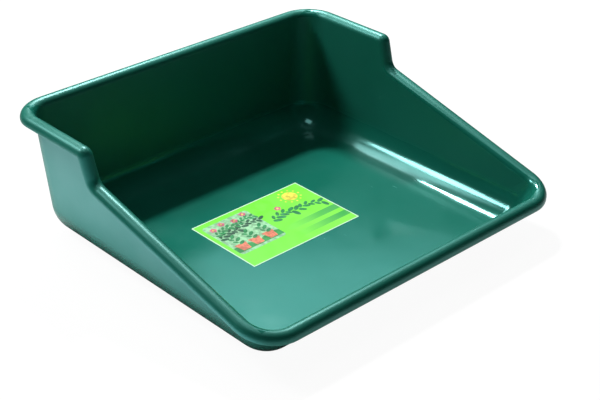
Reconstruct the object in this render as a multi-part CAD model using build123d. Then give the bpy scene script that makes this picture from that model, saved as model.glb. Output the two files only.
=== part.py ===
"""Potting soil tray: one thin moulding with a rolled rim, and the label stuck to its floor."""
from build123d import *
import math
import os

# Overall sizes of the tray, over the rolled rim (mm)
rim_width = 610.0
rim_depth = 563.0
back_height = 203.0
front_height = 65.5

# Sheet and walls
wall_thickness = 2.5
wall_draft = 2.5
base_radius = 50.0
back_corner_radius = 39.0
front_corner_radius = 38.0

# Rolled rim: outside width, straight skirt below the roll, rounding of the free edge
lip_width = 23.0
lip_skirt = 1.0
lip_edge_radius = 0.8

# Side profile: the level shoulder ends at shoulder_y, the step drops at step_angle,
# and the rest of the rim lies in one plane that falls to the front at rim_slope
shoulder_y = 86.0
step_angle = 74.0
step_crest_radius = 1.5
step_foot_radius = 15.0
rim_slope = 14.4

# Label on the floor
label_length = 214.0
label_depth = 146.0
label_corner_radius = 1.0
label_x = -11.0
label_y = 18.0
label_face_thickness = 0.15
label_glue_thickness = 0.05

# Rim and wall relations
roll_radius = lip_width / 2
roll_offset = roll_radius - wall_thickness
draft_angle = math.radians(wall_draft)
step = math.radians(step_angle)
slope = math.radians(rim_slope)

# The sloping rim plane, and the lean of the walls against its normal
tilt = math.atan(math.tan(slope) * math.cos(draft_angle))
lean = math.asin(math.sin(draft_angle) * math.cos(tilt))
front_lean = tilt + lean

# Root of the roll, on the outer face of the walls
root_x = rim_width / 2 - roll_radius - roll_offset * math.cos(draft_angle)
root_y = rim_depth / 2 - roll_radius - roll_offset * math.cos(draft_angle)
root_z = back_height - roll_radius + roll_offset * math.sin(draft_angle)
front_y = -rim_depth / 2 + roll_radius + roll_offset * math.cos(front_lean)
front_z = front_height - roll_radius + roll_offset * math.sin(front_lean)

# Outer face of the walls at floor level
base_x = root_x - root_z * math.tan(draft_angle)
base_y = root_y - root_z * math.tan(draft_angle)
front_x = base_x + front_z * math.tan(draft_angle)

# Side profile in the plane of the side wall: y, and height up the wall
shoulder_height = root_z / math.cos(draft_angle)
front_rise = front_z / math.cos(draft_angle)
crest_y = shoulder_y + roll_radius * math.tan(step / 2)
foot_y = (
    front_rise - front_y * math.tan(slope) - shoulder_height + crest_y * math.tan(step)
) / (math.tan(step) - math.tan(slope))
foot_height = front_rise + (foot_y - front_y) * math.tan(slope)
crest_root_radius = step_crest_radius + lip_skirt
foot_root_radius = step_foot_radius + roll_radius

# Turn of the rim at a front corner, in the sloping rim plane
front_turn = math.acos(math.sin(slope) * math.sin(draft_angle))
front_tangent = front_corner_radius * math.tan(front_turn / 2)

RIM_UP = Vector(0, -math.sin(tilt), math.cos(tilt))
UP = Vector(0, 0, 1)
RIM_PLANE = Plane(origin=(0, front_y, front_z), x_dir=(1, 0, 0), z_dir=RIM_UP)


def drafted(outline, bottom, top, angle):
    """Body over an outline drawn at level 0, its walls leaning out by an angle."""
    block = extrude(Pos(0, 0, bottom) * outline, amount=top - bottom)
    return draft(block.faces().group_by(Axis.Z)[1], Plane.XY, -math.degrees(angle))


def upright_block(inset):
    """The upright body, sharp at its back corners and shrunk by an inset."""
    shrink = inset / math.cos(draft_angle)
    half_width = base_x - shrink
    back = base_y - shrink
    outline = make_face(
        Polyline(
            (-half_width, -rim_depth), (half_width, -rim_depth),
            (half_width, back), (-half_width, back), close=True,
        )
    )
    return drafted(outline, inset, back_height + lip_width, draft_angle)


def sloping_block(inset):
    """The body square to the sloping rim plane, sharp at its front corners."""
    shrink = inset / math.cos(lean)
    widening = math.sin(tilt) * math.tan(draft_angle)
    near = front_x - shrink * (math.hypot(1, widening) - widening)
    far = near + rim_depth * widening
    outline = make_face(
        Polyline(
            (-near, shrink), (near, shrink),
            (far, shrink + rim_depth), (-far, shrink + rim_depth), close=True,
        )
    )
    reach = front_z + rim_depth * math.tan(slope)
    return RIM_PLANE * drafted(outline, -reach, reach, lean)


def meeting_point(planes):
    """Point where three planes meet, each given as its normal and its distance from the origin."""
    (first, a), (second, b), (third, c) = planes
    point = second.cross(third) * a + third.cross(first) * b + first.cross(second) * c
    return point / first.dot(second.cross(third))


class TubCorner:
    """Corner of the tub: a ball in the base bend, and a cone from the ball up to the rim's corner.

    The root is where the corner edge meets the rim, end_out faces out of the back or front wall,
    up is square to the rim there, and the rim's corner starts a tangent length from the root.
    """

    def __init__(self, root, end_out, up, tangent_length):
        outward = math.copysign(math.cos(draft_angle), root.X)
        self.side_out = Vector(outward, 0, -math.sin(draft_angle))
        self.end_out = end_out
        self.centre = meeting_point([
            (self.side_out, self.side_out.dot(root) - base_radius),
            (end_out, end_out.dot(root) - base_radius),
            (UP, base_radius),
        ])
        along = self.side_out.cross(up)
        edge = self.side_out.cross(end_out) * outward * end_out.Y
        touch = self.centre + self.side_out * base_radius - root
        away = touch.cross(edge).length / along.cross(edge).length * along.length
        below = touch.cross(along).length / along.cross(edge).length * edge.length
        rise = tangent_length * below / (away - tangent_length)
        to_apex = root + edge.normalized() * rise - self.centre
        self.axis = to_apex.normalized()
        self.height = to_apex.length

    def wedge(self):
        """The space round the corner that the ball and the cone fill."""
        reach = 2 * self.height
        down, side, end, top = (
            self.centre + ray * reach for ray in (-UP, self.side_out, self.end_out, self.axis)
        )
        triangles = [
            (self.centre, down, side), (self.centre, side, top), (self.centre, top, end),
            (self.centre, end, down), (down, end, side), (side, end, top),
        ]
        return Solid(Shell([Face(Wire.make_polygon(points)) for points in triangles]))

    def filling(self, inset):
        """Ball and cone as one turned body, shrunk by an inset."""
        radius = base_radius - inset
        half_angle = math.asin(base_radius / self.height)
        start = 90 - math.degrees(half_angle)
        tip = (radius / math.sin(half_angle), 0)
        touch = (radius * math.sin(half_angle), radius * math.cos(half_angle))
        profile = make_face([
            Line((-radius, 0), tip), Line(tip, touch),
            CenterArc((0, 0), radius, start, 180 - start),
        ])
        inward = -(self.side_out + self.end_out)
        plane = Plane(origin=self.centre, x_dir=self.axis, z_dir=self.axis.cross(inward))
        return revolve(plane * profile, Axis(self.centre, self.axis)) & self.wedge()


def tub_corners():
    """The four corners of the tub."""
    back_out = Vector(0, math.cos(draft_angle), -math.sin(draft_angle))
    front_out = Vector(0, -math.cos(front_lean), -math.sin(front_lean))
    corners = []
    for side in (-1, 1):
        back_root = Vector(side * root_x, root_y, root_z)
        front_root = Vector(side * front_x, front_y, front_z)
        corners.append(TubCorner(back_root, back_out, UP, back_corner_radius))
        corners.append(TubCorner(front_root, front_out, RIM_UP, front_tangent))
    return corners


def tub(inset):
    """The tray's body as a solid, shrunk by an inset, with its base and corners rounded."""
    body = upright_block(inset) & sloping_block(inset)
    body = fillet(body.faces().sort_by(Axis.Z)[0].edges(), base_radius - inset)
    for corner in tub_corners():
        body = body - corner.wedge() + corner.filling(inset)
    return body


def profile_block():
    """Everything under the side profile, a little above the root of the rim."""
    slack = wall_thickness
    reach = rim_depth / 2 + lip_width
    outline = make_face(
        Polyline(
            (reach, -back_height), (reach, shoulder_height),
            (crest_y, shoulder_height), (foot_y, foot_height),
            (-reach, foot_height - (foot_y + reach) * math.tan(slope)),
            (-reach, -back_height), close=True,
        )
    )
    crest = outline.vertices().sort_by_distance((crest_y, shoulder_height))[0]
    outline = fillet(crest, crest_root_radius)
    foot = outline.vertices().sort_by_distance((foot_y, foot_height))[0]
    outline = Pos(-slack, slack) * fillet(foot, foot_root_radius)
    return extrude(Plane.YZ * outline, amount=rim_width, both=True)


def lip_section():
    """Section of the rolled rim: x runs out from the wall, y runs up from the root."""
    outer = roll_offset + roll_radius
    inner = outer - wall_thickness
    outline = [
        ThreePointArc((-wall_thickness, 0), (roll_offset, roll_radius), (outer, 0)),
        Polyline((outer, 0), (outer, -lip_skirt), (inner, -lip_skirt), (inner, 0)),
        ThreePointArc((inner, 0), (roll_offset, roll_offset), (0, 0)),
        Line((0, 0), (-wall_thickness, 0)),
    ]
    face = make_face(outline)
    return fillet(face.vertices().group_by(Axis.Y)[0], lip_edge_radius)


def clearing_section():
    """Section that clears the wall away above the root of the rim, with a roll's room to spare."""
    clear_width = wall_thickness + 2 * roll_radius
    return Pos(-wall_thickness / 2, roll_radius / 2) * Rectangle(clear_width, roll_radius)


class RimWalk:
    """Carries a section round the rim, setting off along the back from its left corner."""

    def __init__(self, section):
        self.section = section
        self.frame = Plane(
            origin=(back_corner_radius - root_x, root_y, root_z),
            x_dir=(0, math.cos(draft_angle), -math.sin(draft_angle)),
            z_dir=(1, 0, 0),
        )
        self.pieces = []

    def run(self, length):
        """Straight run."""
        self.pieces.append(extrude(self.frame * self.section, amount=length))
        self.frame = self.frame.offset(length)

    def turn(self, centre, direction, angle):
        """Arc about an axis through a centre."""
        axis = Axis(centre, direction)
        self.pieces.append(revolve(self.frame * self.section, axis, revolution_arc=angle))
        self.frame = Plane(
            origin=centre + (self.frame.origin - centre).rotate(axis, angle),
            x_dir=self.frame.x_dir.rotate(axis, angle),
            z_dir=self.frame.z_dir.rotate(axis, angle),
        )

    def corner(self, up, radius, angle):
        """Corner of the tray, turning in the plane square to up."""
        outward = up.cross(self.frame.z_dir)
        self.turn(self.frame.origin - outward * radius, -up, angle)

    def dip(self, radius, angle):
        """Bend down in the plane of the wall."""
        self.turn(self.frame.origin - self.frame.y_dir * radius, self.frame.x_dir, angle)

    def rise(self, radius, angle):
        """Bend up in the plane of the wall."""
        self.turn(self.frame.origin + self.frame.y_dir * radius, -self.frame.x_dir, angle)


def rim(section):
    """A section carried round the rim, as a list of solids."""
    crest_tangent = crest_root_radius * math.tan(step / 2)
    foot_tangent = foot_root_radius * math.tan((step - slope) / 2)
    step_length = math.hypot(crest_y - foot_y, shoulder_height - foot_height)
    slope_length = (foot_y - front_y) / math.cos(slope)
    shoulder_run = root_y - back_corner_radius - crest_y - crest_tangent
    step_run = step_length - crest_tangent - foot_tangent
    slope_run = slope_length - foot_tangent - front_tangent

    walk = RimWalk(section)
    walk.run(2 * (root_x - back_corner_radius))
    walk.corner(UP, back_corner_radius, 90)
    walk.run(shoulder_run)
    walk.dip(crest_root_radius, step_angle)
    walk.run(step_run)
    walk.rise(foot_root_radius, step_angle - rim_slope)
    walk.run(slope_run)
    walk.corner(RIM_UP, front_corner_radius, math.degrees(front_turn))
    walk.run(2 * walk.frame.origin.X)
    walk.corner(RIM_UP, front_corner_radius, math.degrees(front_turn))
    walk.run(slope_run)
    walk.rise(foot_root_radius, step_angle - rim_slope)
    walk.run(step_run)
    walk.dip(crest_root_radius, step_angle)
    walk.run(shoulder_run)
    walk.corner(UP, back_corner_radius, 90)
    return walk.pieces


def tray_shell():
    """The moulding: walls and floor of even thickness, with the rolled rim on top."""
    blank = tub(0) & profile_block()
    walls = blank - tub(wall_thickness) - rim(clearing_section())
    return walls + rim(lip_section())


def label_layer(bottom, thickness):
    """One layer of the label, lying on the floor."""
    outline = RectangleRounded(label_length, label_depth, label_corner_radius)
    return extrude(Pos(label_x, label_y, bottom) * outline, amount=thickness)


glue_bottom = wall_thickness
face_bottom = wall_thickness + label_glue_thickness

parts = {
    "tray_shell": tray_shell(),
    "label_adhesive": label_layer(glue_bottom, label_glue_thickness),
    "label_face": label_layer(face_bottom, label_face_thickness),
}

os.makedirs("parts", exist_ok=True)
for name, part in parts.items():
    export_step(part, f"parts/{name}.step")
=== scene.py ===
"""Looks of the potting soil tray: gloss plastic, a stuck-on paper label and a plain white studio."""

import math

import bmesh
import bpy
from bpy.props import FloatProperty, FloatVectorProperty, IntProperty, PointerProperty
from mathutils import Matrix, Vector


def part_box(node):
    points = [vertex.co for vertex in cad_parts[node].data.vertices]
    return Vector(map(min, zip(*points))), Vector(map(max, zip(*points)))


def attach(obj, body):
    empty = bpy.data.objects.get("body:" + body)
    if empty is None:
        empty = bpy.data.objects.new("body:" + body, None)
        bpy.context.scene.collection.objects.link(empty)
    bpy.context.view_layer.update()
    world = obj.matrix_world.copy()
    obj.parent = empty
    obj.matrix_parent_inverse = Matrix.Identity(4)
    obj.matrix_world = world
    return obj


bl_info = {
    "name": "Potting Soil Tray",
    "version": (1, 0, 0),
    "blender": (4, 5, 0),
    "location": "View3D > Sidebar > Tray",
    "description": "Dresses the moulded potting tray and its label, and sets the studio around it",
    "category": "Object",
}

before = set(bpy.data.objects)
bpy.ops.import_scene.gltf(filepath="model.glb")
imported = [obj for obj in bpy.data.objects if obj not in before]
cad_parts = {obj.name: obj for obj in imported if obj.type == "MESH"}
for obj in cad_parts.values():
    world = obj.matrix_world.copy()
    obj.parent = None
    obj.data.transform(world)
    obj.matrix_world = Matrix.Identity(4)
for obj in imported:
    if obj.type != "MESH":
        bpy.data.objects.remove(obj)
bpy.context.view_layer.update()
BODY = "root"
SENSOR_WIDTH = 36.0

# Where the rolled rim starts, in metres from the middle of the tray
RIM_ROOT_SIDE = 0.2812
RIM_ROOT_BACK = 0.2577
RIM_ROOT_FRONT = -0.2582

# Marks in the plastic: how fine each pattern is, and the part of it that shows
FLOW_SCALE = 6.0
FLOW_RANGE = (0.35, 0.7)
SCRATCH_STRETCH = (70.0, 12.0, 30.0)
SCRATCH_TURN = 0.7
SCRATCH_SCALE = 3.0
SCRATCH_RANGE = (0.66, 0.74)
SCRATCH_STRENGTH = 0.8
WORN_SCALE = 8.0
WORN_RANGE = (0.6, 0.68)
SCUFF_DULLING = 0.25
HANDLED_SCALE = 14.0
HANDLED_RANGE = (0.3, 0.75)
UPRIGHT_RANGE = (0.06, 0.3)
SAG_SCALE = 9.0
SAG_BUMP = {"Strength": 0.25, "Distance": 0.0012}
GRAIN_SCALE = 900.0
GRAIN_BUMP = {"Strength": 0.04, "Distance": 0.0002}
PLASTIC_IOR = 1.5
PLASTIC_SPECULAR = 0.8

# Glue film and coated paper
GLUE_THIN = (0.62, 0.6, 0.48)
GLUE_THICK = (0.7, 0.68, 0.58)
GLUE_SCALE = 60.0
GLUE_ROUGHNESS = 0.35
WRINKLE_SCALE = 250.0
WRINKLE_BUMP = {"Strength": 0.2, "Distance": 0.0001}
COATING_SCALE = 40.0
COATING_RANGE = (0.3, 0.7)
COATING_ROUGHNESS = (0.28, 0.42)
PAPER_SPECULAR = 0.2
FIBRE_STRETCH = (1.0, 3.0, 1.0)
FIBRE_TURN = 0.4
FIBRE_SCALE = 500.0
FIBRE_BUMP = {"Strength": 0.15, "Distance": 0.00005}
INK_SCALE = 160.0
INK_RANGE = (0.35, 0.65)
INK_SHADE = 0.6

# Layout of the label's print, in metres from the middle of the label
INK_LEVEL = 0.00001
INK_ROOT = 0.00002
BAND_MIDDLES = (-0.026, -0.05)
BAND_WIDTH = 0.014
GARDEN_MIDDLE = (-0.054, 0.012)
GARDEN_SIZE = (0.088, 0.098)
GARDEN_CORNER = 0.006
POT_PLACES = (-0.081, -0.055, -0.028)
POT_WIDTH = 0.021
SEEDLING_FOOT = -0.012
SEEDLING_TOP = 0.008
HEDGE_ROUTE = ((-0.096, 0.016), (-0.076, 0.03), (-0.056, 0.02), (-0.036, 0.034), (-0.013, 0.024))
SHRUB_ROUTE = ((-0.094, 0.03), (-0.07, 0.042), (-0.05, 0.032), (-0.03, 0.046), (-0.014, 0.04))
SPRIG_ROUTE = ((0.0, 0.006), (0.026, 0.02), (0.05, 0.004), (0.074, 0.014), (0.096, 0.0))
BLOSSOM_PLACES = ((-0.086, 0.046), (-0.066, 0.052), (-0.044, 0.047), (-0.022, 0.054), (0.03, 0.03))
BLOSSOM_SIZE = 0.0036
SUN_MIDDLE = (0.07, 0.046)
SUN_RADIUS = 0.013
SUN_RAYS = 12
LEAF_LEAN = math.radians(48)
LEAF_CORNERS = 14
LEAF_SLIMNESS = 0.5
LEAF_UNEVEN = (0.75, 1.2)
LIME_RANGE = (-0.1, 0.16)
BAND_FADE_RANGE = (-0.01, 0.1)
BAND_STRENGTH = 0.85
GROUND_RISE = 0.014
GROUND_WAVE = 0.004
GROUND_WAVES = 1.5
POT_LIFT = 0.002
PETALS = 5
PETAL_SHARE = 0.7
HEART_SHARE = 0.5
SPOT_CORNERS = 12
RAY_REACH = 1.4
RAY_SHARE = 0.14
SEEDLING_BEND = (0.002, 0.009)
HEDGE_SCALE = 0.9
SHRUB_SCALE = 0.75
SPRIG_SCALE = 1.0
SEEDLING_SCALE = 0.8

# White table and the room around it
FLOOR_REACH = 12.0
TABLE_GREY = (0.8, 0.8, 0.8)
SHADOW_GREY = (0.07, 0.07, 0.07)
TABLE_WHITE = 0.95
# Painted shade: the table's mirror image is darkened where the tray stands close over it
PAINTED_SHADE_REACH = 0.08
PAINTED_SHADE_RANGE = (0.45, 0.95)
PAINTED_SHADE_DEPTH = 0.92
PAINTED_SHADE_SAMPLES = 8
# Painted light: the table's mirror image fades darker away from the tray, a painted pool of light
# round it
PAINTED_POOL_RANGE = (0.6, 1.1)
PAINTED_POOL_DEPTH = 0.75
ROOM_TOP = (0.0, 0.2, 0.98)
ROOM_RANGE = (0.25, 0.95)
ROOM_LEVELS = (0.03, 0.42)

# Lamps: where each hangs and aims, its two sides in metres, its power and its colour
WHITE_LIGHT = (1.0, 1.0, 1.0)
COOL_LIGHT = (0.62, 0.87, 1.0)
TEAL_LIGHT = (0.55, 1.0, 1.0)
BEND_AIM = (0.25, -0.1, 0.0)
LAMPS = {
    "key_lamp": {
        "place": (0.78, 1.16, 1.85), "aim": (0.6, 0.0, 0.0), "size": (0.26, 0.14),
        "power": 52.0, "colour": WHITE_LIGHT,
    },
    "top_fill": {
        "place": (-0.2, 0.05, 2.2), "aim": (0.0, 0.1, 0.0), "size": (0.9, 0.6),
        "power": 5.5, "colour": WHITE_LIGHT,
    },
    "left_strip": {
        "place": (-0.9, 1.24, 1.52), "aim": BEND_AIM, "size": (0.5, 0.46),
        "power": 23.0, "colour": WHITE_LIGHT,
    },
    "middle_strip": {
        "place": (0.0, 1.34, 1.74), "aim": BEND_AIM, "size": (1.3, 0.34),
        "power": 11.0, "colour": WHITE_LIGHT,
    },
    "back_panel": {
        "place": (1.68, 1.27, 1.63), "aim": (0.06, -0.45, 0.41), "size": (1.46, 0.5),
        "power": 5.6, "colour": TEAL_LIGHT,
    },
    "right_panel": {
        "place": (1.75, 0.35, 1.75), "aim": (0.2, -0.1, 0.1), "size": (1.5, 0.25),
        "power": 3.0, "colour": WHITE_LIGHT,
    },
    "table_glow": {
        "place": (-0.5, 0.1, 0.003), "aim": (-0.5, 0.1, 1.0), "size": (0.36, 0.8),
        "power": 1.6, "colour": COOL_LIGHT,
    },
}


def add(tree, kind, **settings):
    """Adds a node, and sets its own properties and its unlinked inputs by name."""
    node = tree.nodes.new(kind)
    inputs = settings.pop("inputs", {})
    for name, value in settings.items():
        setattr(node, name, value)
    for name, value in inputs.items():
        node.inputs[name].default_value = value
    return node


def math_node(tree, operation, first, second=None, clamp=False):
    """Adds a Math node; each operand is a socket or a number."""
    node = add(tree, "ShaderNodeMath", operation=operation, use_clamp=clamp)
    for socket, operand in zip(node.inputs, (first, second)):
        if operand is None:
            continue
        if isinstance(operand, bpy.types.NodeSocket):
            tree.links.new(operand, socket)
        else:
            socket.default_value = operand
    return node.outputs["Value"]


def mix_colour(tree, factor, under, over):
    """Adds a colour mix; each operand is a socket or a plain value."""
    node = add(tree, "ShaderNodeMix", data_type="RGBA")
    for name, operand in (("Factor", factor), ("A", under), ("B", over)):
        kind = "VALUE" if name == "Factor" else "RGBA"
        socket = next(s for s in node.inputs if s.name == name and s.type == kind)
        if isinstance(operand, bpy.types.NodeSocket):
            tree.links.new(operand, socket)
        else:
            socket.default_value = operand
    return next(s for s in node.outputs if s.type == "RGBA")


def noise(tree, vector, scale, detail=2.0, roughness=0.5):
    """Adds a noise pattern on a coordinate and returns its value."""
    node = add(
        tree, "ShaderNodeTexNoise",
        inputs={"Scale": scale, "Detail": detail, "Roughness": roughness},
    )
    tree.links.new(vector, node.inputs["Vector"])
    return node.outputs["Fac"]


def remap(tree, value, low, high, to_low, to_high):
    """Adds a smooth remap of one range to another."""
    node = add(
        tree, "ShaderNodeMapRange", interpolation_type="SMOOTHSTEP",
        inputs={"From Min": low, "From Max": high, "To Min": to_low, "To Max": to_high},
    )
    tree.links.new(value, node.inputs["Value"])
    return node.outputs["Result"]


def new_material(name):
    """Adds an empty material with a surface shader and returns the tree and both."""
    material = bpy.data.materials.new(name)
    material.use_nodes = True
    tree = material.node_tree
    shader = tree.nodes["Principled BSDF"]
    return material, tree, shader


def opaque(colour):
    """A colour with full opacity."""
    return (*colour, 1.0)


class TrayFinish(bpy.types.PropertyGroup):
    """Colour and gloss of the moulding."""

    green: FloatVectorProperty(
        name="Plastic green", description="Colour of the moulded plastic",
        subtype="COLOR", size=3, default=(0.006, 0.122, 0.084), min=0.0, max=1.0,
    )
    green_shift: FloatVectorProperty(
        name="Flow green", description="Slightly paler colour where the melt flowed",
        subtype="COLOR", size=3, default=(0.007, 0.134, 0.095), min=0.0, max=1.0,
    )
    scuffed: FloatVectorProperty(
        name="Scuffed green", description="Pale colour of scratched plastic",
        subtype="COLOR", size=3, default=(0.05, 0.24, 0.19), min=0.0, max=1.0,
    )
    sheen: FloatVectorProperty(
        name="Gloss tint", description="Tint of the reflections in the plastic",
        subtype="COLOR", size=3, default=(0.34, 1.0, 0.95), min=0.0, max=1.0,
    )
    gloss_low: FloatProperty(
        name="Polished roughness", description="Roughness where the mould was polished",
        subtype="FACTOR", default=0.12, min=0.0, max=1.0,
    )
    gloss_high: FloatProperty(
        name="Handled roughness", description="Roughness where the surface is handled",
        subtype="FACTOR", default=0.19, min=0.0, max=1.0,
    )
    wall_dulling: FloatProperty(
        name="Wall dulling", description="Roughness that the upright walls have on top",
        subtype="FACTOR", default=0.3, min=0.0, max=1.0,
    )
    rim_dulling: FloatProperty(
        name="Rim dulling", description="Roughness that the handled rim has on top",
        subtype="FACTOR", default=0.24, min=0.0, max=1.0,
    )


class LabelFinish(bpy.types.PropertyGroup):
    """Colours and sizes of the label's print."""

    border: FloatProperty(
        name="Border", description="Width of the white border of the label",
        unit="LENGTH", default=0.0017, min=0.0, max=0.02,
    )
    paper: FloatVectorProperty(
        name="Paper", description="Colour of the bare paper",
        subtype="COLOR", size=3, default=(0.56, 0.84, 0.6), min=0.0, max=1.0,
    )
    lime: FloatVectorProperty(
        name="Lime", description="Main printed colour",
        subtype="COLOR", size=3, default=(0.14, 0.66, 0.025), min=0.0, max=1.0,
    )
    pale_lime: FloatVectorProperty(
        name="Pale lime", description="Printed colour towards the right front corner",
        subtype="COLOR", size=3, default=(0.18, 0.72, 0.045), min=0.0, max=1.0,
    )
    band: FloatVectorProperty(
        name="Band green", description="Colour of the printed bands",
        subtype="COLOR", size=3, default=(0.02, 0.3, 0.06), min=0.0, max=1.0,
    )
    leaf: FloatVectorProperty(
        name="Leaf green", description="Colour of the printed leaves",
        subtype="COLOR", size=3, default=(0.012, 0.26, 0.07), min=0.0, max=1.0,
    )
    hedge: FloatVectorProperty(
        name="Hedge green", description="Colour of the dark printed foliage",
        subtype="COLOR", size=3, default=(0.01, 0.09, 0.04), min=0.0, max=1.0,
    )
    clay: FloatVectorProperty(
        name="Clay", description="Colour of the printed flower pots",
        subtype="COLOR", size=3, default=(0.72, 0.2, 0.11), min=0.0, max=1.0,
    )
    petal: FloatVectorProperty(
        name="Petal", description="Colour of the printed blossoms",
        subtype="COLOR", size=3, default=(0.72, 0.16, 0.26), min=0.0, max=1.0,
    )
    sun: FloatVectorProperty(
        name="Sun", description="Colour of the printed sun",
        subtype="COLOR", size=3, default=(0.8, 0.72, 0.08), min=0.0, max=1.0,
    )
    sky: FloatVectorProperty(
        name="Sky", description="Colour behind the printed garden",
        subtype="COLOR", size=3, default=(0.3, 0.62, 0.34), min=0.0, max=1.0,
    )
    leaf_length: FloatProperty(
        name="Leaf length", description="Length of a printed leaf",
        unit="LENGTH", default=0.0145, min=0.001, max=0.05,
    )
    leaf_spacing: FloatProperty(
        name="Leaf spacing", description="Distance between leaves along a stem",
        unit="LENGTH", default=0.0055, min=0.001, max=0.05,
    )
    leaf_seed: IntProperty(
        name="Leaf seed", description="Seed of the uneven leaves", default=4,
    )


class StudioSetting(bpy.types.PropertyGroup):
    """Viewpoint and light of the studio."""

    azimuth: FloatProperty(
        name="Azimuth", description="Turn of the camera round the tray, from the front",
        subtype="ANGLE", default=math.radians(-42.338),
    )
    elevation: FloatProperty(
        name="Elevation", description="Height of the camera as an angle",
        subtype="ANGLE", default=math.radians(29.291),
    )
    roll: FloatProperty(
        name="Roll", description="Tilt of the camera about its own view",
        subtype="ANGLE", default=math.radians(-0.2417),
    )
    distance: FloatProperty(
        name="Distance", description="Distance of the camera from the point it looks at",
        unit="LENGTH", default=2.02338, min=0.1,
    )
    target: FloatVectorProperty(
        name="Target", description="Point that the camera looks at",
        subtype="TRANSLATION", unit="LENGTH", size=3, default=(0.0035, -0.00551, 0.0601),
    )
    lens: FloatProperty(
        name="Lens", description="Focal length in millimetres",
        default=80.718, min=10.0,
    )
    shift_x: FloatProperty(
        name="Shift across", description="Shift of the frame across", default=0.01147,
    )
    shift_y: FloatProperty(
        name="Shift up", description="Shift of the frame upwards", default=-0.01316,
    )


def stretched(tree, place, scale, turn):
    """A coordinate stretched and turned, for scratches and fibres."""
    node = add(tree, "ShaderNodeMapping", inputs={"Scale": scale, "Rotation": (0.0, 0.0, turn)})
    tree.links.new(place, node.inputs["Vector"])
    return node.outputs["Vector"]


def rim_mask(tree, place):
    """One on the rolled rim, which stands outside the walls, and nought elsewhere."""
    split = add(tree, "ShaderNodeSeparateXYZ")
    tree.links.new(place, split.inputs["Vector"])
    across, along = split.outputs["X"], split.outputs["Y"]
    side = math_node(tree, "GREATER_THAN", math_node(tree, "ABSOLUTE", across), RIM_ROOT_SIDE)
    back = math_node(tree, "GREATER_THAN", along, RIM_ROOT_BACK)
    front = math_node(tree, "LESS_THAN", along, RIM_ROOT_FRONT)
    return math_node(tree, "MAXIMUM", side, math_node(tree, "MAXIMUM", back, front))


def plastic_material(finish):
    """Gloss plastic with faint flow marks, scuffs, hand wear and a slightly uneven surface."""
    material, tree, shader = new_material("tray_gloss_green")
    coordinate = add(tree, "ShaderNodeTexCoord").outputs
    place = coordinate["Object"]

    flow = remap(tree, noise(tree, place, FLOW_SCALE, detail=3.0), *FLOW_RANGE, 0.0, 1.0)
    colour = mix_colour(tree, flow, opaque(finish.green), opaque(finish.green_shift))
    streaked = stretched(tree, place, SCRATCH_STRETCH, SCRATCH_TURN)
    scratches = noise(tree, streaked, SCRATCH_SCALE, detail=3.0)
    scratches = remap(tree, scratches, *SCRATCH_RANGE, 0.0, SCRATCH_STRENGTH)
    worn = remap(tree, noise(tree, place, WORN_SCALE), *WORN_RANGE, 0.0, 1.0)
    scuff = math_node(tree, "MULTIPLY", scratches, worn)
    colour = mix_colour(tree, scuff, colour, opaque(finish.scuffed))
    tree.links.new(colour, shader.inputs["Base Color"])

    handled = noise(tree, place, HANDLED_SCALE, detail=4.0, roughness=0.6)
    gloss = remap(tree, handled, *HANDLED_RANGE, finish.gloss_low, finish.gloss_high)
    facing = add(tree, "ShaderNodeSeparateXYZ")
    tree.links.new(coordinate["Normal"], facing.inputs["Vector"])
    level = math_node(tree, "ABSOLUTE", facing.outputs["Z"])
    wall = remap(tree, level, *UPRIGHT_RANGE, finish.wall_dulling, 0.0)
    rim = math_node(tree, "MULTIPLY", rim_mask(tree, place), finish.rim_dulling)
    wall = math_node(tree, "MAXIMUM", wall, rim)
    dulled = math_node(tree, "ADD", math_node(tree, "MULTIPLY", scuff, SCUFF_DULLING), wall)
    dulled = math_node(tree, "ADD", gloss, dulled, clamp=True)
    tree.links.new(dulled, shader.inputs["Roughness"])

    sag = add(tree, "ShaderNodeBump", inputs=dict(SAG_BUMP))
    tree.links.new(noise(tree, place, SAG_SCALE, detail=1.0), sag.inputs["Height"])
    grain = add(tree, "ShaderNodeBump", inputs=dict(GRAIN_BUMP))
    tree.links.new(noise(tree, place, GRAIN_SCALE, detail=2.0), grain.inputs["Height"])
    tree.links.new(sag.outputs["Normal"], grain.inputs["Normal"])
    tree.links.new(grain.outputs["Normal"], shader.inputs["Normal"])
    shader.inputs["IOR"].default_value = PLASTIC_IOR
    shader.inputs["Specular IOR Level"].default_value = PLASTIC_SPECULAR
    shader.inputs["Specular Tint"].default_value = opaque(finish.sheen)
    return material


def glue_material():
    """Clear tacky film with a faint yellow tint and a fine wrinkle."""
    material, tree, shader = new_material("label_glue_film")
    place = add(tree, "ShaderNodeTexCoord").outputs["Object"]
    tint = mix_colour(tree, noise(tree, place, GLUE_SCALE), opaque(GLUE_THIN), opaque(GLUE_THICK))
    tree.links.new(tint, shader.inputs["Base Color"])
    wrinkle = add(tree, "ShaderNodeBump", inputs=dict(WRINKLE_BUMP))
    tree.links.new(noise(tree, place, WRINKLE_SCALE), wrinkle.inputs["Height"])
    tree.links.new(wrinkle.outputs["Normal"], shader.inputs["Normal"])
    shader.inputs["Roughness"].default_value = GLUE_ROUGHNESS
    return material


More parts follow.
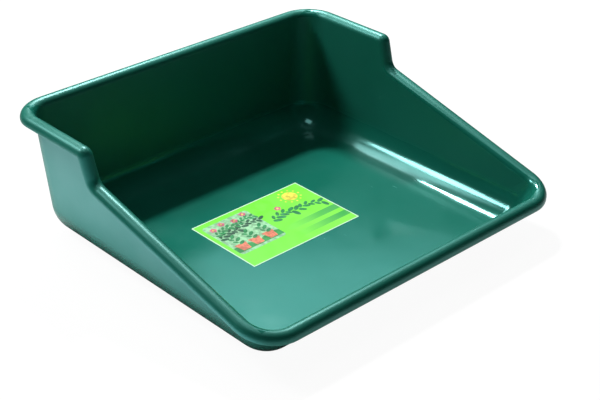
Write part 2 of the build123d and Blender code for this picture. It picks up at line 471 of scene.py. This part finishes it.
def label_material(finish):
    """Printed paper: a white border round a lime field, with two soft green bands."""
    material, tree, shader = new_material("label_print")
    low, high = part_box("label_face")
    centre = (low + high) / 2
    place = add(tree, "ShaderNodeTexCoord").outputs["Object"]
    mapping = add(tree, "ShaderNodeMapping", inputs={"Location": -centre})
    tree.links.new(place, mapping.inputs["Vector"])
    split = add(tree, "ShaderNodeSeparateXYZ")
    tree.links.new(mapping.outputs["Vector"], split.inputs["Vector"])
    across, along = split.outputs["X"], split.outputs["Y"]

    tone = math_node(tree, "SUBTRACT", across, along)
    tone = remap(tree, tone, *LIME_RANGE, 0.0, 1.0)
    colour = mix_colour(tree, tone, opaque(finish.lime), opaque(finish.pale_lime))
    fade = remap(tree, across, *BAND_FADE_RANGE, 0.0, BAND_STRENGTH)
    for middle in BAND_MIDDLES:
        offset = math_node(tree, "ABSOLUTE", math_node(tree, "SUBTRACT", along, middle))
        stripe = math_node(tree, "LESS_THAN", offset, BAND_WIDTH / 2)
        colour = mix_colour(
            tree, math_node(tree, "MULTIPLY", stripe, fade), colour, opaque(finish.band)
        )

    inside = [
        math_node(tree, "LESS_THAN", math_node(tree, "ABSOLUTE", axis), half - finish.border)
        for axis, half in ((across, (high.x - low.x) / 2), (along, (high.y - low.y) / 2))
    ]
    printed = math_node(tree, "MULTIPLY", *inside)
    colour = mix_colour(tree, printed, opaque(finish.paper), colour)
    tree.links.new(colour, shader.inputs["Base Color"])
    finish_paper(tree, shader, place)
    return material


def finish_paper(tree, shader, place):
    """Coated paper: uneven gloss and a fine fibre."""
    coating = noise(tree, place, COATING_SCALE, detail=3.0)
    coating = remap(tree, coating, *COATING_RANGE, *COATING_ROUGHNESS)
    tree.links.new(coating, shader.inputs["Roughness"])
    shader.inputs["Specular IOR Level"].default_value = PAPER_SPECULAR
    fibre = add(tree, "ShaderNodeBump", inputs=dict(FIBRE_BUMP))
    grained = stretched(tree, place, FIBRE_STRETCH, FIBRE_TURN)
    tree.links.new(noise(tree, grained, FIBRE_SCALE), fibre.inputs["Height"])
    tree.links.new(fibre.outputs["Normal"], shader.inputs["Normal"])


def ink_material(name, colour):
    """Printed ink with a mottled tone on coated paper."""
    material, tree, shader = new_material(name)
    place = add(tree, "ShaderNodeTexCoord").outputs["Object"]
    deep = opaque([part * INK_SHADE for part in colour])
    mottle = remap(tree, noise(tree, place, INK_SCALE, detail=3.0), *INK_RANGE, 0.0, 1.0)
    tree.links.new(mix_colour(tree, mottle, deep, opaque(colour)), shader.inputs["Base Color"])
    finish_paper(tree, shader, place)
    return material


def disc(x, y, radius, corners=24):
    """Outline of a round printed spot."""
    turns = [math.tau * corner / corners for corner in range(corners)]
    return [(x + radius * math.cos(turn), y + radius * math.sin(turn)) for turn in turns]


def rounded_panel(x, y, width, depth, radius, corners=8):
    """Outline of a printed panel with rounded corners."""
    outline = []
    for quarter in range(4):
        side_x = 1 if quarter in (0, 3) else -1
        side_y = 1 if quarter in (0, 1) else -1
        for step in range(corners + 1):
            turn = math.pi / 2 * (quarter + step / corners)
            outline.append((
                x + side_x * (width / 2 - radius) + radius * math.cos(turn),
                y + side_y * (depth / 2 - radius) + radius * math.sin(turn),
            ))
    return outline


def flower_pot(x, y, width):
    """Outline of a printed pot that stands on y, with its thicker rim."""
    foot, mouth, rim = 0.34 * width, 0.44 * width, 0.5 * width
    neck, top = 0.68 * width, 0.9 * width
    return [
        (x - foot, y), (x + foot, y), (x + mouth, y + neck), (x + rim, y + neck),
        (x + rim, y + top), (x - rim, y + top), (x - rim, y + neck), (x - mouth, y + neck),
    ]


def hill(left, right, foot, crest, wave, corners=40):
    """Outline of a printed strip of ground with a wavy top."""
    outline = [(left, foot), (right, foot)]
    for step in range(corners + 1):
        share = step / corners
        x = right + (left - right) * share
        outline.append((x, crest + wave * math.sin(math.tau * GROUND_WAVES * share)))
    return outline


def blossom(x, y, size):
    """Outlines of a printed blossom's petals."""
    return ring(x, y, size, PETALS, PETAL_SHARE * size)


def ring(x, y, reach, count, radius):
    """Outlines of small spots set evenly round a middle."""
    turns = [math.tau * spot / count for spot in range(count)]
    return [
        disc(x + reach * math.cos(turn), y + reach * math.sin(turn), radius, corners=SPOT_CORNERS)
        for turn in turns
    ]


def finish_ink(mesh, level):
    """Gives a flat print its thickness, down into the paper."""
    build = bmesh.new()
    build.from_mesh(mesh)
    bmesh.ops.recalc_face_normals(build, faces=build.faces)
    for face in build.faces:
        if face.normal.z < 0:
            face.normal_flip()
    bmesh.ops.solidify(build, geom=build.faces[:], thickness=level + INK_ROOT)
    build.to_mesh(mesh)
    build.free()


def lay_ink(name, mesh, level, material):
    """Puts a flat print on the label, at a level above the paper."""
    low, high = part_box("label_face")
    centre = (low + high) / 2
    mesh.transform(Matrix.Translation((centre.x, centre.y, high.z + level)))
    finish_ink(mesh, level)
    mesh.materials.clear()
    mesh.materials.append(material)
    piece = bpy.data.objects.new(name, mesh)
    bpy.context.scene.collection.objects.link(piece)
    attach(piece, BODY)


def ink_shapes(name, outlines, level, material):
    """Prints a set of outlines in one ink."""
    points, faces = [], []
    for outline in outlines:
        faces.append(range(len(points), len(points) + len(outline)))
        points.extend((x, y, 0.0) for x, y in outline)
    mesh = bpy.data.meshes.new(name)
    mesh.from_pydata(points, [], [list(face) for face in faces])
    lay_ink(name, mesh, level, material)


def leaf_tree():
    """Geometry tree that sets leaves left and right along a stem."""
    tree = bpy.data.node_groups.new("leaf_sprig", "GeometryNodeTree")
    face = tree.interface
    face.new_socket("Stem", in_out="INPUT", socket_type="NodeSocketGeometry")
    for name in ("Leaf Length", "Leaf Spacing", "Lean"):
        face.new_socket(name, in_out="INPUT", socket_type="NodeSocketFloat")
    face.new_socket("Seed", in_out="INPUT", socket_type="NodeSocketInt")
    face.new_socket("Ink", in_out="INPUT", socket_type="NodeSocketMaterial")
    face.new_socket("Leaves", in_out="OUTPUT", socket_type="NodeSocketGeometry")
    link = tree.links.new
    given = tree.nodes.new("NodeGroupInput").outputs
    result = tree.nodes.new("NodeGroupOutput")

    stem = add(tree, "GeometryNodeResampleCurve", mode="LENGTH")
    link(given["Stem"], stem.inputs["Curve"])
    link(given["Leaf Spacing"], stem.inputs["Length"])

    rim = add(tree, "GeometryNodeCurvePrimitiveCircle", inputs={"Resolution": LEAF_CORNERS})
    rim.inputs["Radius"].default_value = 0.5
    blade = add(tree, "GeometryNodeFillCurve", mode="NGONS")
    link(rim.outputs["Curve"], blade.inputs["Curve"])
    shape = add(
        tree, "GeometryNodeTransform",
        inputs={"Translation": (0.5, 0.0, 0.0), "Scale": (1.0, LEAF_SLIMNESS, 1.0)},
    )
    link(blade.outputs["Mesh"], shape.inputs["Geometry"])

    parity = math_node(tree, "MODULO", tree.nodes.new("GeometryNodeInputIndex").outputs["Index"], 2.0)
    side = math_node(tree, "MULTIPLY_ADD", parity, 2.0)
    side.node.inputs[2].default_value = -1.0
    uneven = add(tree, "FunctionNodeRandomValue", data_type="FLOAT")
    low, high = [s for s in uneven.inputs if s.type == "VALUE"][:2]
    low.default_value, high.default_value = LEAF_UNEVEN
    link(given["Seed"], uneven.inputs["Seed"])
    factor = next(s for s in uneven.outputs if s.type == "VALUE")
    lean = math_node(tree, "MULTIPLY", math_node(tree, "MULTIPLY", side, given["Lean"]), factor)
    swing = add(tree, "ShaderNodeCombineXYZ")
    link(lean, swing.inputs["Z"])
    turn = add(tree, "FunctionNodeEulerToRotation")
    link(swing.outputs["Vector"], turn.inputs["Euler"])
    ahead = add(tree, "FunctionNodeAlignRotationToVector", axis="X")
    link(tree.nodes.new("GeometryNodeInputTangent").outputs["Tangent"], ahead.inputs["Vector"])
    facing = add(tree, "FunctionNodeRotateRotation", rotation_space="LOCAL")
    link(ahead.outputs["Rotation"], facing.inputs["Rotation"])
    link(turn.outputs["Rotation"], facing.inputs["Rotate By"])
    size = math_node(tree, "MULTIPLY", given["Leaf Length"], factor)

    leaves = add(tree, "GeometryNodeInstanceOnPoints")
    link(stem.outputs["Curve"], leaves.inputs["Points"])
    link(shape.outputs["Geometry"], leaves.inputs["Instance"])
    link(facing.outputs["Rotation"], leaves.inputs["Rotation"])
    link(size, leaves.inputs["Scale"])
    real = add(tree, "GeometryNodeRealizeInstances")
    link(leaves.outputs["Instances"], real.inputs["Geometry"])
    inked = add(tree, "GeometryNodeSetMaterial")
    link(real.outputs["Geometry"], inked.inputs["Geometry"])
    link(given["Ink"], inked.inputs["Material"])
    link(inked.outputs["Geometry"], result.inputs["Leaves"])
    return tree


def stem_curve(name, route):
    """A smooth stem through a route of points on the label."""
    data = bpy.data.curves.new(name, "CURVE")
    data.dimensions = "3D"
    spline = data.splines.new("NURBS")
    spline.points.add(len(route) - 1)
    for point, (x, y) in zip(spline.points, route):
        point.co = (x, y, 0.0, 1.0)
    spline.order_u = 3
    spline.use_endpoint_u = True
    return data


def print_sprig(name, tree, route, finish, scale, level, material):
    """Prints one sprig: the leaf tree on a stem, made a plain mesh."""
    stem = bpy.data.objects.new(name + "_stem", stem_curve(name, route))
    bpy.context.scene.collection.objects.link(stem)
    modifier = stem.modifiers.new("leaves", "NODES")
    modifier.node_group = tree
    values = {
        "Leaf Length": finish.leaf_length * scale,
        "Leaf Spacing": finish.leaf_spacing * scale,
        "Lean": LEAF_LEAN,
        "Seed": finish.leaf_seed,
        "Ink": material,
    }
    for socket in tree.interface.items_tree:
        if socket.name in values and socket.in_out == "INPUT":
            modifier[socket.identifier] = values[socket.name]
    seen = stem.evaluated_get(bpy.context.evaluated_depsgraph_get())
    mesh = bpy.data.meshes.new_from_object(seen)
    mesh.name = name
    data = stem.data
    bpy.data.objects.remove(stem)
    bpy.data.curves.remove(data)
    if not mesh.polygons:
        raise RuntimeError("no leaves were made for " + name)
    lay_ink(name, mesh, level, material)


def dress(node, material):
    """Gives a node of the model its finished material."""
    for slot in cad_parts[node].material_slots:
        slot.material = material


class TRAY_OT_finish_shell(bpy.types.Operator):
    """Give the moulding its gloss green plastic"""

    bl_idname = "potting_tray.finish_shell"
    bl_label = "Finish the Tray"

    def execute(self, context):
        dress("tray_shell", plastic_material(context.scene.tray_finish))
        return {"FINISHED"}


class TRAY_OT_finish_label(bpy.types.Operator):
    """Give the label its glue film and its printed paper"""

    bl_idname = "potting_tray.finish_label"
    bl_label = "Print the Label"

    def execute(self, context):
        dress("label_adhesive", glue_material())
        dress("label_face", label_material(context.scene.label_finish))
        return {"FINISHED"}


class TRAY_OT_print_garden(bpy.types.Operator):
    """Print the garden scene on the label: sky, ground, pots, blossoms and a sun"""

    bl_idname = "potting_tray.print_garden"
    bl_label = "Print the Garden"

    def execute(self, context):
        finish = context.scene.label_finish
        sky = [rounded_panel(*GARDEN_MIDDLE, *GARDEN_SIZE, GARDEN_CORNER)]
        left = GARDEN_MIDDLE[0] - GARDEN_SIZE[0] / 2
        foot = GARDEN_MIDDLE[1] - GARDEN_SIZE[1] / 2 + GARDEN_CORNER
        ground = [hill(left, left + GARDEN_SIZE[0], foot, foot + GROUND_RISE, GROUND_WAVE)]
        pots = [flower_pot(x, foot + POT_LIFT, POT_WIDTH) for x in POT_PLACES]
        petals = [petal for x, y in BLOSSOM_PLACES for petal in blossom(x, y, BLOSSOM_SIZE)]
        heart = HEART_SHARE * BLOSSOM_SIZE
        hearts = [disc(x, y, heart, corners=SPOT_CORNERS) for x, y in BLOSSOM_PLACES]
        rays = ring(*SUN_MIDDLE, RAY_REACH * SUN_RADIUS, SUN_RAYS, RAY_SHARE * SUN_RADIUS)
        sun_ink = ink_material("ink_sun", finish.sun)
        ink_shapes("label_sky", sky, 1 * INK_LEVEL, ink_material("ink_sky", finish.sky))
        ink_shapes("label_ground", ground, 2 * INK_LEVEL, ink_material("ink_ground", finish.band))
        ink_shapes("label_pots", pots, 5 * INK_LEVEL, ink_material("ink_clay", finish.clay))
        ink_shapes("label_blossoms", petals, 6 * INK_LEVEL, ink_material("ink_petal", finish.petal))
        ink_shapes("label_hearts", hearts, 7 * INK_LEVEL, sun_ink)
        ink_shapes("label_sun", [disc(*SUN_MIDDLE, SUN_RADIUS), *rays], 1 * INK_LEVEL, sun_ink)
        return {"FINISHED"}


class TRAY_OT_print_leaves(bpy.types.Operator):
    """Print the sprigs of leaves on the label"""

    bl_idname = "potting_tray.print_leaves"
    bl_label = "Print the Leaves"

    def execute(self, context):
        finish = context.scene.label_finish
        tree = leaf_tree()
        hedge_ink = ink_material("ink_hedge", finish.hedge)
        leaf_ink = ink_material("ink_leaf", finish.leaf)
        print_sprig("label_hedge", tree, HEDGE_ROUTE, finish, HEDGE_SCALE, 3 * INK_LEVEL, hedge_ink)
        print_sprig("label_shrub", tree, SHRUB_ROUTE, finish, SHRUB_SCALE, 4 * INK_LEVEL, leaf_ink)
        print_sprig("label_sprig", tree, SPRIG_ROUTE, finish, SPRIG_SCALE, 1 * INK_LEVEL, leaf_ink)
        for number, x in enumerate(POT_PLACES):
            bend = (x + SEEDLING_BEND[0], SEEDLING_FOOT + SEEDLING_BEND[1])
            route = [(x, SEEDLING_FOOT), bend, (x, SEEDLING_TOP)]
            name = f"label_seedling_{number}"
            print_sprig(name, tree, route, finish, SEEDLING_SCALE, 6 * INK_LEVEL, leaf_ink)
        return {"FINISHED"}


def floor_material():
    """White table: seen as plain white with the tray's faint shadow; in its mirror image a painted
    shade darkens it where the tray stands close over it, and a painted pool of light leaves it darker
    far from the tray."""
    material, tree, shader = new_material("studio_table")
    tree.nodes.remove(shader)
    path = add(tree, "ShaderNodeLightPath").outputs
    seen = math_node(tree, "ADD", path["Is Camera Ray"], path["Is Glossy Ray"])
    seen = math_node(tree, "ADD", seen, path["Is Transmission Ray"], clamp=True)
    table = add(tree, "ShaderNodeBsdfDiffuse", inputs={"Color": opaque(TABLE_GREY)})
    shade = add(tree, "ShaderNodeBsdfDiffuse", inputs={"Color": opaque(SHADOW_GREY)})
    white = add(tree, "ShaderNodeEmission")
    # Painted shade under the tray, seen only in the table's mirror image
    shade_occlusion = add(
        tree, "ShaderNodeAmbientOcclusion",
        samples=PAINTED_SHADE_SAMPLES, inputs={"Distance": PAINTED_SHADE_REACH},
    )
    painted_contact_shade = remap(tree, shade_occlusion.outputs["AO"], *PAINTED_SHADE_RANGE, PAINTED_SHADE_DEPTH, 0.0)
    # Painted pool of light: the mirror image darkens with distance from the tray
    reach = add(tree, "ShaderNodeVectorMath", operation="LENGTH")
    tree.links.new(add(tree, "ShaderNodeTexCoord").outputs["Object"], reach.inputs[0])
    painted_pool_fade = remap(tree, reach.outputs["Value"], *PAINTED_POOL_RANGE, 0.0, PAINTED_POOL_DEPTH)
    # Both painted darkenings, shade and pool of light, act on glossy rays only
    painted_reflection_shade = math_node(tree, "MAXIMUM", painted_contact_shade, painted_pool_fade)
    painted_reflection_shade = math_node(tree, "MULTIPLY", painted_reflection_shade, path["Is Glossy Ray"])
    tree.links.new(math_node(tree, "SUBTRACT", TABLE_WHITE, painted_reflection_shade), white.inputs["Strength"])
    both = add(tree, "ShaderNodeAddShader")
    tree.links.new(shade.outputs["BSDF"], both.inputs[0])
    tree.links.new(white.outputs["Emission"], both.inputs[1])
    choice = add(tree, "ShaderNodeMixShader")
    tree.links.new(seen, choice.inputs[0])
    tree.links.new(table.outputs["BSDF"], choice.inputs[1])
    tree.links.new(both.outputs["Shader"], choice.inputs[2])
    tree.links.new(choice.outputs["Shader"], tree.nodes["Material Output"].inputs["Surface"])
    return material


def lay_floor():
    """Lays the white table under the tray."""
    signs = ((-1, -1), (1, -1), (1, 1), (-1, 1))
    corners = [(x * FLOOR_REACH, y * FLOOR_REACH, 0.0) for x, y in signs]
    mesh = bpy.data.meshes.new("studio_floor")
    mesh.from_pydata(corners, [], [(0, 1, 2, 3)])
    mesh.materials.append(floor_material())
    floor = bpy.data.objects.new("studio_floor", mesh)
    bpy.context.scene.collection.objects.link(floor)


def hang_lamp(name, place, aim, size, power, colour):
    """Hangs a rectangular lamp, turned to its aim, with its long side level."""
    data = bpy.data.lights.new(name, "AREA")
    data.shape = "RECTANGLE"
    data.size, data.size_y = size
    data.energy = power
    data.color = colour
    lamp = bpy.data.objects.new(name, data)
    lamp.location = place
    lamp.rotation_euler = (Vector(aim) - Vector(place)).to_track_quat("-Z", "Y").to_euler()
    lamp.visible_camera = False
    bpy.context.scene.collection.objects.link(lamp)


def light_room():
    """A soft light from above that fades to a dark room at the sides."""
    world = bpy.data.worlds.new("studio_room")
    bpy.context.scene.world = world
    world.use_nodes = True
    tree = world.node_tree
    background = tree.nodes["Background"]
    direction = add(tree, "ShaderNodeTexCoord").outputs["Generated"]
    facing = add(tree, "ShaderNodeVectorMath", operation="DOT_PRODUCT")
    tree.links.new(direction, facing.inputs[0])
    facing.inputs[1].default_value = ROOM_TOP
    level = remap(tree, facing.outputs["Value"], *ROOM_RANGE, *ROOM_LEVELS)
    tree.links.new(level, background.inputs["Strength"])


def set_camera(setting):
    """Stands the camera where the photograph was taken from."""
    data = bpy.data.cameras.new("viewpoint")
    data.sensor_fit = "HORIZONTAL"
    data.sensor_width = SENSOR_WIDTH
    data.lens = setting.lens
    data.shift_x = setting.shift_x
    data.shift_y = setting.shift_y
    camera = bpy.data.objects.new("viewpoint", data)
    bpy.context.scene.collection.objects.link(camera)
    turn = (
        Matrix.Rotation(setting.azimuth, 4, "Z")
        @ Matrix.Rotation(math.pi / 2 - setting.elevation, 4, "X")
        @ Matrix.Rotation(setting.roll, 4, "Z")
    )
    back = turn @ Vector((0.0, 0.0, setting.distance))
    camera.matrix_world = Matrix.Translation(Vector(setting.target) + back) @ turn
    bpy.context.scene.camera = camera


class TRAY_OT_set_studio(bpy.types.Operator):
    """Set the white table, the lamps, the room and the camera"""

    bl_idname = "potting_tray.set_studio"
    bl_label = "Set the Studio"

    def execute(self, context):
        lay_floor()
        light_room()
        for name, lamp in LAMPS.items():
            hang_lamp(name, **lamp)
        set_camera(context.scene.studio_setting)
        context.scene.view_settings.view_transform = "Standard"
        return {"FINISHED"}


class TRAY_PT_build(bpy.types.Panel):
    """Lists the steps that dress the tray"""

    bl_idname = "TRAY_PT_build"
    bl_label = "Potting Soil Tray"
    bl_space_type = "VIEW_3D"
    bl_region_type = "UI"
    bl_category = "Tray"

    def draw(self, context):
        for step in STEPS:
            self.layout.operator(step.bl_idname)
        for name in SETTINGS:
            group = getattr(context.scene, name)
            column = self.layout.column()
            for prop in group.bl_rna.properties:
                if prop.identifier not in {"rna_type", "name"}:
                    column.prop(group, prop.identifier)


SETTINGS = {
    "tray_finish": TrayFinish,
    "label_finish": LabelFinish,
    "studio_setting": StudioSetting,
}
STEPS = (
    TRAY_OT_finish_shell,
    TRAY_OT_finish_label,
    TRAY_OT_print_garden,
    TRAY_OT_print_leaves,
    TRAY_OT_set_studio,
)


def register():
    """Registers the settings, the operators and the panel."""
    for name, group in SETTINGS.items():
        bpy.utils.register_class(group)
        setattr(bpy.types.Scene, name, PointerProperty(type=group))
    for step in STEPS:
        bpy.utils.register_class(step)
    bpy.utils.register_class(TRAY_PT_build)


def unregister():
    """Takes the panel, the operators and the settings away again."""
    bpy.utils.unregister_class(TRAY_PT_build)
    for step in reversed(STEPS):
        bpy.utils.unregister_class(step)
    for name, group in reversed(SETTINGS.items()):
        delattr(bpy.types.Scene, name)
        bpy.utils.unregister_class(group)


def main():
    """Runs every step in order."""
    register()
    bpy.ops.potting_tray.finish_shell()
    bpy.ops.potting_tray.finish_label()
    bpy.ops.potting_tray.print_garden()
    bpy.ops.potting_tray.print_leaves()
    bpy.ops.potting_tray.set_studio()


if __name__ == "__main__":
    main()
